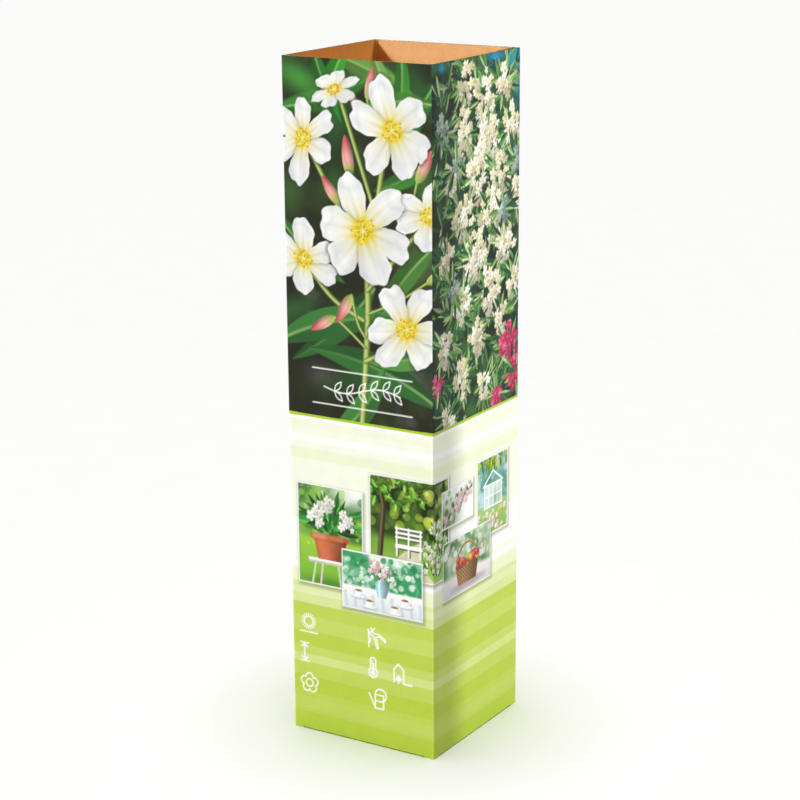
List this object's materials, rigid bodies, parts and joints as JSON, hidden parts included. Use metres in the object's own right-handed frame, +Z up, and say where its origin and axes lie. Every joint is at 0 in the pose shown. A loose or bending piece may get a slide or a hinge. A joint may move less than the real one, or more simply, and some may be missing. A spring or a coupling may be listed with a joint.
{
  "type": "tall plant carton",
  "caption": "Tall open-topped square carton of printed corrugated board for one potted plant, with a hinged tongue-lock bottom.",
  "frame": {"origin": "middle of the square footprint, on the surface that the carton stands on", "axes": "+Z up along the tube, the front wall faces -Y, the right wall faces +X"},
  "size_m": [0.1, 0.1, 0.41],
  "materials": {
    "printed_board_front": "coated white liner with a soft green print, satin",
    "printed_board_side": "coated white liner with a darker green print, satin",
    "kraft_board": "bare brown kraft liner, matt"
  },
  "bodies": {
    "carton": {"wall_front": "printed_board_front", "wall_back": "printed_board_front", "wall_left": "printed_board_side", "wall_right": "printed_board_side", "corner_front_left": "printed_board_front", "corner_front_right": "printed_board_front", "corner_back_left": "printed_board_front", "corner_back_right": "printed_board_front", "glue_tab": "kraft_board"},
    "front_flap": {"flap_front": "printed_board_front"},
    "back_flap": {"flap_back": "kraft_board"},
    "left_flap": {"flap_left": "kraft_board"},
    "right_flap": {"flap_right": "kraft_board"}
  },
  "joints": [
    {"name": "front_flap_fold", "type": "hinge", "parent": "carton", "child": "front_flap", "pos_m": [0, -0.05, 0], "axis": [-1, 0, 0], "range_deg": [0, 160]},
    {"name": "back_flap_fold", "type": "hinge", "parent": "carton", "child": "back_flap", "pos_m": [0, 0.05, 0], "axis": [1, 0, 0], "range_deg": [0, 151]},
    {"name": "left_flap_fold", "type": "hinge", "parent": "carton", "child": "left_flap", "pos_m": [-0.05, 0, 0], "axis": [0, 1, 0], "range_deg": [0, 91]},
    {"name": "right_flap_fold", "type": "hinge", "parent": "carton", "child": "right_flap", "pos_m": [0.05, 0, 0], "axis": [0, -1, 0], "range_deg": [0, 91]}
  ],
  "couplings": [
    {"joint": "back_flap_fold", "follows": "front_flap_fold", "ratio": 0.9375},
    {"joint": "left_flap_fold", "follows": "front_flap_fold", "ratio": 0.5625},
    {"joint": "right_flap_fold", "follows": "front_flap_fold", "ratio": 0.5625}
  ]
}
